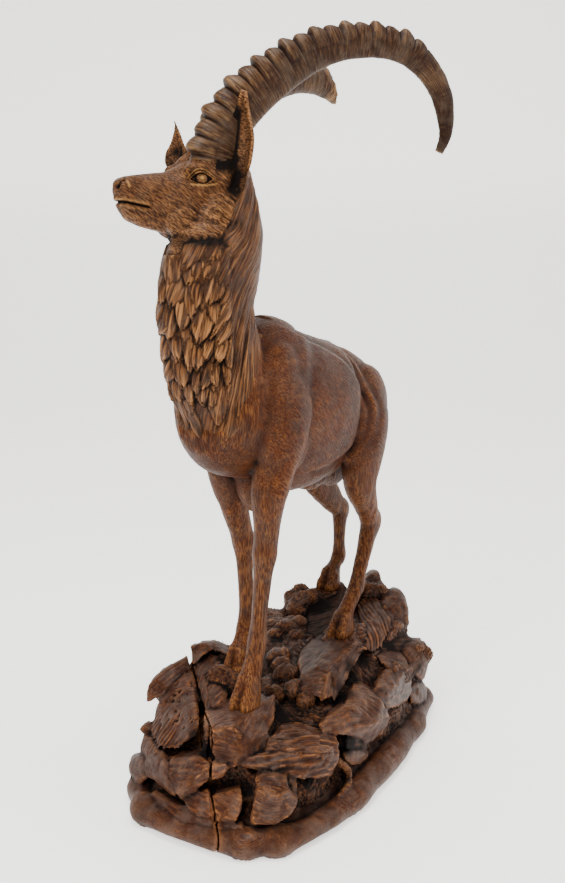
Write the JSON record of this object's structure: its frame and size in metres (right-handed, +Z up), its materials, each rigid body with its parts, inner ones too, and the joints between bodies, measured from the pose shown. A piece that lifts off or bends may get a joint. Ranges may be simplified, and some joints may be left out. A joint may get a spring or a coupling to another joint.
{
  "type": "carved wooden ibex figure on a rocky base",
  "caption": "Carved wooden alpine ibex standing alert on a carved rocky base, with long knobbed horns, one of them broken off short.",
  "frame": {"origin": "centre of the underside of the base", "axes": "+Z up, the animal's body faces -Y and its left side is at +X"},
  "size_m": [0.2431, 0.3915, 0.6555],
  "materials": {
    "figure_wood": "red-brown stained and waxed carving, lighter on worn edges, near black in the cuts",
    "horn_wood": "grey-brown stained wood with fine grain along the horn and ochre worn knobs",
    "base_wood": "dark brown stained wood with gouge marks, greyish flats and golden worn edges"
  },
  "bodies": {
    "root": {"ibex": "figure_wood", "horn_left": "horn_wood", "horn_right": "horn_wood", "rocky_base": "base_wood"}
  },
  "joints": []
}
